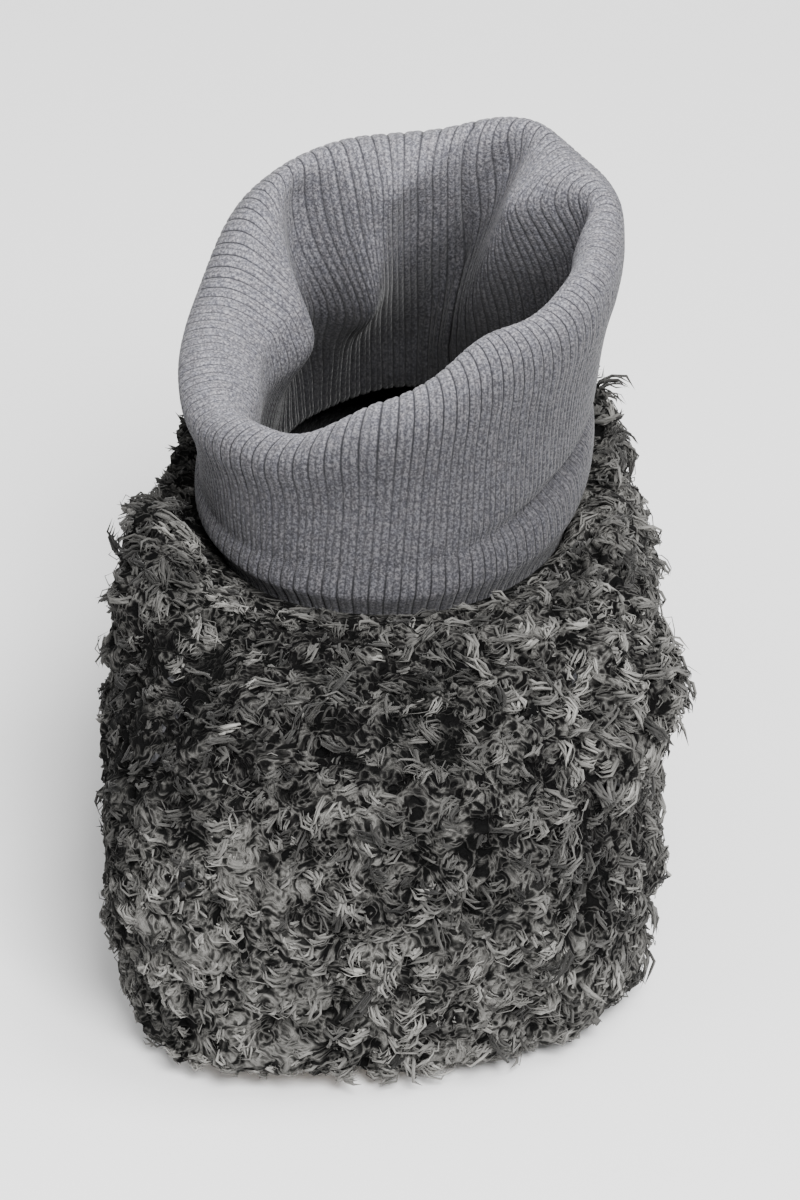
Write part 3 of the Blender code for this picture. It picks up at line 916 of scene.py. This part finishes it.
def topline(angle):
    """The height of the fleece's edge at the collar."""
    place = np.abs(turned_away(np.degrees(angle), 0.0))
    height = np.full_like(place, TOPLINE[0][1])
    for (low, below), (high, above) in zip(TOPLINE, TOPLINE[1:]):
        height = height + (above - below) * ease(place, low, high - low)
    return height


def even_angles(count):
    """Angles that divide the collar into even lengths."""
    fine = np.linspace(0.0, 2 * np.pi, COLLAR_POINTS)
    plan = oval(fine, *COLLAR_OVAL)
    run = np.concatenate(((0.0,), np.cumsum(np.linalg.norm(np.diff(plan, axis=0), axis=1))))
    return np.interp(np.arange(count) / count * run[-1], run, fine)


def section_rows(count):
    """The cuff's section as a smooth closed line, in even steps of its table."""
    table = np.array(CUFF_SECTION)
    place = np.arange(count) / count * len(table)
    before = np.floor(place).astype(int)
    share = (place - before)[:, None]
    a, b, c, d = (table[(before + step) % len(table)] for step in (-1, 0, 1, 2))
    bend = 2 * a - 5 * b + 4 * c - d
    slope = 3 * (b - c) + d - a
    return 0.5 * (2 * b + (c - a) * share + bend * share**2 + slope * share**3)


def fold_depth(degrees, share):
    """How far the soft folds push the cuff's inside towards its middle."""
    depth = 0.0
    for angle, drift, bow, width, deep in CUFF_FOLDS:
        turned = angle + drift * (1.0 - share) + bow * np.sin(np.pi * share)
        depth = depth + deep * bell(turned_away(degrees, turned), width)
    for angle, place, width, reach, deep in DEEP_FOLDS:
        depth = depth + deep * bell(turned_away(degrees, angle), width) * bell(share - place, reach)
    return depth


def rim_bend(degrees):
    """How far the cuff's soft rim is pushed in, and how far it rises."""
    push = 0.0
    rise = 0.0
    for angle, width, inwards, upwards in RIM_BENDS:
        share = bell(turned_away(degrees, angle), width)
        push = push + inwards * share
        rise = rise + upwards * share
    return push, rise


def cuff_inset(degrees, share, outset, fold):
    """How far the cuff stands out, less its folds, the crease above the turned band and the front's dent."""
    inset = outset - fold * fold_depth(degrees, share)
    front = bell(turned_away(degrees, CREASE_ANGLE), CREASE_SPREAD)
    crease = bell(share - CREASE_PLACE - CREASE_RISE * front, CREASE_WIDTH) * (outset > 0.0)
    inset = inset - crease * (CREASE_DEPTH + CREASE_DEEPER * front)
    angle, width, place, reach, deep = FRONT_DENT
    dent = bell(turned_away(degrees, angle), width) * bell(share - place, reach)
    return inset - deep * dent * (outset > DENT_OUTSET)


def cuff_points(angle, share, tuck, inset):
    """The cuff's surface before its ribs, from the tucked collar end to the tilted and bent rim."""
    base = topline(angle)
    height = RIM_HEIGHT + RIM_TILT * np.cos(angle - math.radians(RIM_HIGHEST)) - base
    push, waver = rim_bend(np.degrees(angle))
    for size, waves, start in RIM_WAVES:
        waver = waver + size * np.sin(waves * angle + start)
    bent = inset - push
    low = oval(angle, COLLAR_OVAL[0] + inset, COLLAR_OVAL[1] + inset, COLLAR_OVAL[2]) + COLLAR_CENTRE
    high = oval(angle, RIM_OVAL[0] + bent, RIM_OVAL[1] + bent, RIM_OVAL[2]) + RIM_CENTRE
    plan = low + (high - low) * share[..., None] + SHIFT
    tall = base - CUFF_TUCK * tuck + (height + waver * share) * share
    return np.concatenate((plan, tall[..., None]), -1)


def rib_relief(degrees, share, outset):
    """How far the knit goes in between its ribs, along their wales and at the seam, as depths below 0."""
    column = np.arange(CUFF_RIBS * RIB_COLUMNS) % RIB_COLUMNS
    groove = np.array(GROOVE_PROFILE)[column][:, None]
    wale = np.array(WALE_PROFILE)[column][:, None]
    middle = bell(share - CUFF_MIDDLE, CUFF_MIDDLE_REACH)
    relief = -groove * (GROOVE_DEPTH - GROOVE_EASE * middle) - wale * (WALE_DEPTH + WALE_GAIN * middle)
    seam = bell(turned_away(degrees, SEAM_ANGLE), SEAM_WIDTH) * (outset < SEAM_OUTSET)
    return relief - SEAM_DEPTH * seam


def ring_normals(points):
    """The way out of a closed grid of points, at each of them."""
    around = np.roll(points, -1, 0) - np.roll(points, 1, 0)
    along = np.roll(points, -1, 1) - np.roll(points, 1, 1)
    return unit(np.cross(around, along))


def ring_faces(columns, rows):
    """Faces of a grid that closes both ways, and the map places of their corners."""
    around = np.arange(columns)[:, None]
    along = np.arange(rows)[None, :]
    faces = []
    places = []
    for right, up in ((0, 0), (1, 0), (1, 1), (0, 1)):
        faces.append((around + right) % columns * rows + (along + up) % rows)
        places.append(np.stack(np.broadcast_arrays((around + right) / columns, (along + up) / rows), -1))
    return np.stack(faces, -1).reshape(-1, 4), np.stack(places, 2).reshape(-1, 2)


def knit_cuff():
    """The turned cuff: a thick soft ring of knit with true ribs, a creased band, folds and a seam."""
    columns = CUFF_RIBS * RIB_COLUMNS
    angle = even_angles(columns)[:, None]
    degrees = np.degrees(angle)
    share, tuck, outset, fold = (row[None, :] for row in section_rows(CUFF_ROWS).T)
    points = cuff_points(angle, share, tuck, cuff_inset(degrees, share, outset, fold))
    points = points + ring_normals(points) * rib_relief(degrees, share, outset)[..., None]
    faces, places = ring_faces(columns, CUFF_ROWS)
    piece = link_mesh("knit_cuff", points.reshape(-1, 3), faces)
    bake_map(piece.data, places)
    finish_shell(piece)
    piece.data.materials.append(rib_knit())
    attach(piece, "root")
    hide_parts("rib_cuff")


def on_lining(places, normals):
    """True where the upper looks at the foot's middle line, below the fleece's edge at the collar."""
    spine = np.zeros_like(places)
    spine[:, 1] = np.clip(places[:, 1], -SPINE_REACH, SPINE_REACH)
    spine[:, 2] = SPINE_HEIGHT
    return (np.einsum("ij,ij->i", normals, places - spine) < 0.0) & (places[:, 2] < LINING_TOP)


def cuff_room(places):
    """How far places stand outside the cuff, in plan, or a large distance below the collar."""
    plan = places[..., :2] - SHIFT - COLLAR_CENTRE
    share = np.clip((places[..., 2:] - ROOM_START) / ROOM_RUN, 0.0, 1.0)
    collar = np.array(COLLAR_OVAL[:2])
    half = collar + (np.array(RIM_OVAL[:2]) - collar) * share + ROOM_SWELL
    reach = np.sum(np.abs(plan / half) ** ROOM_SQUARENESS, axis=-1) ** (1 / ROOM_SQUARENESS)
    room = np.linalg.norm(plan, axis=-1) * (1.0 - 1.0 / np.maximum(reach, ROOM_LEAST))
    return np.where(places[..., 2] < ROOM_FLOOR, ROOM_BELOW, room)


def pile_height(places):
    """How far the fleece's soft clumps and their curls stand out."""
    heights = np.empty(len(places))
    for index, place in enumerate(places):
        spot = Vector(place)
        swirl = noise.noise_vector(spot / SWIRL_SIZE) * CURL_SWIRL
        curl = CURL_HEIGHT * (1.0 - CURL_SHARPNESS * abs(noise.noise((spot + swirl) / CURL_SIZE)))
        heights[index] = CLUMP_HEIGHT * noise.noise(spot / CLUMP_SIZE) + curl
    return heights


def tone_with_painted_light(places):
    """Change of tone: paler towards the floor, painted light on the lobes, and painted shade below them,
    under the cuff and on its inner side.
    """
    tone = 0.0
    for axis, start, run, change in TONE_AND_SHADE_SLOPES:
        tone = tone + change * ease(places[:, axis], start, run)
    # Painted light on the lobes and low toe, painted shade below the lobes
    for *middle, reach, change in PAINTED_PILE_LIGHT_AND_SHADE:
        tone = tone + change * np.exp(-np.sum((places - middle) ** 2, axis=1) / reach**2)
    return tone


def raise_pile(mesh):
    """Raises the fleece outside, notes its heights and its painted light and shade for the colour, and draws
    the lining to the sole.
    """
    places = vertex_places(mesh)
    normals = rows_of(mesh.vertex_normals, "vector")
    lining = on_lining(places, normals)
    heights = pile_height(places)
    noted = mesh.attributes.new("pile_height", "FLOAT", "POINT")
    # The noted value: heights, which darken the hollows as painted shade, plus the painted light and shade
    # over the fleece
    shown = heights / GROUND_RANGE + GROUND_TONE + tone_with_painted_light(places)
    noted.data.foreach_set("value", np.clip(shown, 0.0, 1.0).astype(np.float32))
    raised = ease(cuff_room(places), *RISE_AT_CUFF) * ease(places[:, 2], *RISE_AT_FLOOR) * ~lining
    places += normals * (heights * raised)[:, None]
    tucked = LINING_TUCK * ease(places[:, 2], *TUCK_EDGE) * lining
    places[:, :2] += normals[:, :2] * tucked[:, None]
    move_vertices(mesh, places)


def fleece_backing():
    """The upper's own wall: dark curly ground outside and brushed lining inside."""
    piece = soft_copy("fleece_upper", "fleece_backing")
    mesh = piece.data
    raise_pile(mesh)
    mesh.materials.append(fleece_ground())
    mesh.materials.append(brushed_cloth("brushed_lining", *LINING_CLOTH))
    lining = on_lining(rows_of(mesh.polygons, "center") / MM, rows_of(mesh.polygons, "normal"))
    mesh.polygons.foreach_set("material_index", lining.astype(np.int32))
    mesh.update()
    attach(piece, "root")
    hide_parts("fleece_upper")
    return piece


def spaced(places, distance):
    """Indices of places that keep a distance from those before them."""
    cells = {}
    kept = []
    grid = np.floor(places / distance).astype(int)
    for index, cell in enumerate(map(tuple, grid)):
        near = []
        for x in (-1, 0, 1):
            for y in (-1, 0, 1):
                for z in (-1, 0, 1):
                    near += cells.get((cell[0] + x, cell[1] + y, cell[2] + z), ())
        if near and np.min(np.sum((places[near] - places[index]) ** 2, axis=1)) < distance**2:
            continue
        cells.setdefault(cell, []).append(index)
        kept.append(index)
    return np.array(kept)


def lock_roots(backing, chance):
    """Places and normals for the roots of the locks, spread evenly over the outside."""
    mesh = backing.data
    mesh.calc_loop_triangles()
    corners = np.empty(len(mesh.loop_triangles) * 3, np.int32)
    mesh.loop_triangles.foreach_get("vertices", corners)
    corners = corners.reshape(-1, 3)
    places = vertex_places(mesh)
    normals = rows_of(mesh.vertex_normals, "vector")
    a, b, c = (places[corners[:, corner]] for corner in range(3))
    flat = np.cross(b - a, c - a)
    middle = (a + b + c) / 3
    outside = ~on_lining(middle, unit(flat)) & (middle[:, 2] > ROOT_FLOOR) & (cuff_room(middle) > CUFF_GAP)
    weight = np.linalg.norm(flat, axis=1) * outside
    tries = LOCK_COUNT * LOCK_TRIES
    face = chance.choice(len(weight), tries, p=weight / weight.sum())
    share = chance.random((tries, 2))
    turned = share.sum(1) > 1.0
    share[turned] = 1.0 - share[turned]
    weights = np.concatenate((1.0 - share.sum(1, keepdims=True), share), 1)
    roots = np.einsum("ij,ijk->ik", weights, places[corners[face]])
    ways = unit(np.einsum("ij,ijk->ik", weights, normals[corners[face]]))
    kept = spaced(roots, LOCK_SPACING)[:LOCK_COUNT]
    return roots[kept], ways[kept]


def keep_clear(places):
    """Moves pile off the floor and out of the cuff."""
    away = places - (*(SHIFT + COLLAR_CENTRE), 0.0)
    away[..., 2] = 0.0
    push = np.maximum(CUFF_GAP - cuff_room(places), 0.0)
    places = places + push[..., None] * unit(away)
    places[..., 2] = np.maximum(places[..., 2], PILE_FLOOR)
    return places


def lock_lengths(roots, crown, chance):
    """How long each lock is."""
    lobe = np.exp(-np.sum(((roots - LOBE_PLACE) / LOBE_REACH) ** 2, axis=1))
    low = 1.0 - LOW_SHORTER + LOW_SHORTER * ease(roots[:, 2], *LOW_EDGE)
    length = chance.uniform(*LOCK_LENGTH, len(roots))
    length *= low * (1.0 + CROWN_LONGER * crown + LOBE_LONGER * lobe)
    length *= 1.0 - INNER_SHORTER * ease(roots[:, 0], *INNER_EDGE)
    return length * (1.0 + soft_noise(roots, *LENGTH_MOTTLE))


def lock_paths(roots, ways, chance):
    """The curled middle line of each lock."""
    count = len(roots)
    away = unit((roots[:, :2] - SHIFT - COLLAR_CENTRE) * LEAN_STRETCH)
    low = ease(roots[:, 2:], *FLARE_EDGE)
    down = np.concatenate((away * (LEAN_OUT + FLARE_OUT * low), FLARE_UP * low - 1.0), 1)
    down = unit(down - ways * np.sum(down * ways, axis=1, keepdims=True))
    side = np.cross(ways, down)
    turn_start = soft_noise(roots, *TURN_DRIFT) + chance.normal(0.0, TURN_SCATTER, count)
    hand = np.where(chance.random(count) < 0.5, -1.0, 1.0)
    turn = hand * chance.uniform(*TURN_RANGE, count)
    crown = ease(roots[:, 2], *CROWN_EDGE) * (roots[:, 1] < CROWN_BACK)
    rise_start = chance.uniform(*RISE_START, count) + CROWN_RISE * crown
    rise_end = chance.uniform(*RISE_END, count)
    stride = lock_lengths(roots, crown, chance)[:, None] / (STRAND_POINTS - 1)
    steps = np.linspace(0.0, 1.0, STRAND_POINTS)
    path = np.empty((count, STRAND_POINTS, 3))
    path[:, 0] = roots - ways * ROOT_DEPTH
    for step in range(1, STRAND_POINTS):
        share = (steps[step] + steps[step - 1]) / 2
        bearing = (turn_start + turn * share)[:, None]
        rise = (rise_start + (rise_end - rise_start) * share**RISE_CURVE)[:, None]
        flat = down * np.cos(bearing) + side * np.sin(bearing)
        path[:, step] = path[:, step - 1] + (flat * np.cos(rise) + ways * np.sin(rise)) * stride
    return path


def strand_frames(path, ways):
    """The directions across a path, at each of its points."""
    along = unit(np.gradient(path, axis=-2))
    across = unit(np.cross(along, ways))
    return across, np.cross(across, along)


def wool_strands(path, ways, chance):
    """Crimped strands beside the middle line of each lock: (lock, strand, point, xyz)."""
    count = len(path)
    size = (count, LOCK_STRANDS + STRAY_STRANDS)
    across, upright = strand_frames(path, ways[:, None, :])
    steps = np.linspace(0.0, 1.0, STRAND_POINTS)
    reach = np.sqrt(chance.uniform(LOCK_CORE, 1.0, size)) * LOCK_WIDTH
    reach[:, LOCK_STRANDS:] *= chance.uniform(*STRAY_REACH, (count, STRAY_STRANDS))
    twist = chance.uniform(-LOCK_TWIST, LOCK_TWIST, (count, 1)) + chance.normal(0.0, STRAND_TWIST, size)
    phase = chance.uniform(0.0, STRAND_PHASE, (*size, 1)) + twist[..., None] * steps
    opening = LOCK_GATHER + LOCK_BELLY * np.sin(np.pi * steps**BELLY_CURVE) - LOCK_TAPER * steps
    wide = reach[..., None] * opening
    sideways = across[:, None] * (wide * np.cos(phase))[..., None]
    outwards = upright[:, None] * (wide * np.sin(phase))[..., None] * LOCK_FLATNESS
    strands = path[:, None] + (sideways + outwards)
    strands += chance.normal(0.0, 1.0, strands.shape) * (CRIMP_ROOT + CRIMP_GAIN * steps)[:, None]
    slide = 1.0 + chance.normal(0.0, STRAND_SLIDE, (*size, 1, 1))
    root = strands[:, :, :1]
    return root + (strands - root) * slide


def strand_template():
    """Faces, and their map places, of one closed strand with a point at both ends."""
    last = STRAND_POINTS - 2
    corners = []
    for side in range(STRAND_SIDES):
        after = side + 1
        corners.append(((0, side), (1, after), (1, side)))
        for ring in range(1, last):
            corners.append(((ring, side), (ring, after), (ring + 1, after)))
            corners.append(((ring, side), (ring + 1, after), (ring + 1, side)))
        corners.append(((last, side), (last, after), (last + 1, side)))
    ring, side = np.moveaxis(np.array(corners), -1, 0)
    faces = 1 + (ring - 1) * STRAND_SIDES + side % STRAND_SIDES
    return np.clip(faces, 0, 1 + last * STRAND_SIDES), np.stack((side / STRAND_SIDES, ring), -1)


def strand_points(strands, ways, radius):
    """The points of closed strands: root, rings and tip."""
    across, upright = strand_frames(strands, ways)
    span = np.linspace(*SWELL_SPAN, STRAND_POINTS)[1:-1]
    thick = radius[:, None] * (STRAND_THIN + STRAND_SWELL * np.sin(np.pi * span))
    turns = (np.arange(STRAND_SIDES) * 2 * np.pi / STRAND_SIDES)[:, None]
    ring = across[:, 1:-1, None] * np.cos(turns) + upright[:, 1:-1, None] * np.sin(turns)
    ring = strands[:, 1:-1, None] + ring * thick[..., None, None]
    ring = ring.reshape(len(strands), -1, 3)
    return np.concatenate((strands[:, :1], ring, strands[:, -1:]), 1)


def strand_mesh(strands, ways, radius, tone):
    """Points, faces and map places of many strands: the map runs from black to pale and from root to tip."""
    faces, places = strand_template()
    points = strand_points(strands, ways, radius)
    points[..., 2] = np.maximum(points[..., 2], PILE_FLOOR / 2)
    first = (np.arange(len(strands)) * points.shape[1])[:, None, None]
    spread = np.empty((len(strands), *places.shape))
    spread[..., 0] = tone[:, None, None] + places[..., 0] * MAP_WIDTH
    spread[..., 1] = places[..., 1] / (STRAND_POINTS - 1) * (1.0 - 2 * MAP_MARGIN) + MAP_MARGIN
    return points.reshape(-1, 3), (faces[None] + first).reshape(-1, 3), spread.reshape(-1, 2)


def lock_tones(roots, chance):
    """How pale each lock is: mottled over the shoe, paler where it stands out as painted light, with the
    fleece's painted light and shade, and black ones among them.
    """
    mottle = sum(soft_noise(roots, amount, size) for amount, size in LOCK_MOTTLE)
    tone = LOCK_TONE + mottle + CLUMP_PAINTED_LIGHT * pile_height(roots)
    tone = tone + chance.normal(0.0, LOCK_SCATTER, len(roots)) + tone_with_painted_light(roots)
    black = chance.random(len(roots)) < BLACK_SHARE
    tone[black] = chance.uniform(*BLACK_TONES, black.sum())
    return np.clip(tone, *LOCK_TONES)


def curly_pile(backing):
    """The curly locks of the fleece, in five pieces round the shoe."""
    chance = np.random.default_rng(FLEECE_SEED)
    roots, ways = lock_roots(backing, chance)
    strands = keep_clear(wool_strands(lock_paths(roots, ways, chance), ways, chance))
    size = strands.shape[:2]
    tone = lock_tones(roots, chance)[:, None] + chance.normal(0.0, STRAND_SCATTER, size)
    tone = np.clip(tone, *STRAND_TONES)
    radius = STRAND_RADIUS * chance.uniform(*STRAND_SPREAD, size)
    radius[:, LOCK_STRANDS:] = STRAY_RADIUS
    order = np.argsort(np.arctan2(roots[:, 0], -roots[:, 1]))
    wool = curly_wool()
    for name, locks in zip(PIECE_NAMES, np.array_split(order, len(PIECE_NAMES))):
        own = strands[locks].reshape(-1, STRAND_POINTS, 3)
        out = np.repeat(ways[locks], size[1], axis=0)[:, None, :]
        points, faces, places = strand_mesh(own, out, radius[locks].ravel(), tone[locks].ravel())
        piece = link_mesh(name, points, faces)
        bake_map(piece.data, places)
        piece.data.materials.append(wool)
        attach(piece, "root")


lay_floor()
light_studio()
place_camera()
rubber = sole_rubber()
dress_outsole(rubber)
tread_waves(rubber)
insole_pad()
backing = fleece_backing()
knit_cuff()
curly_pile(backing)
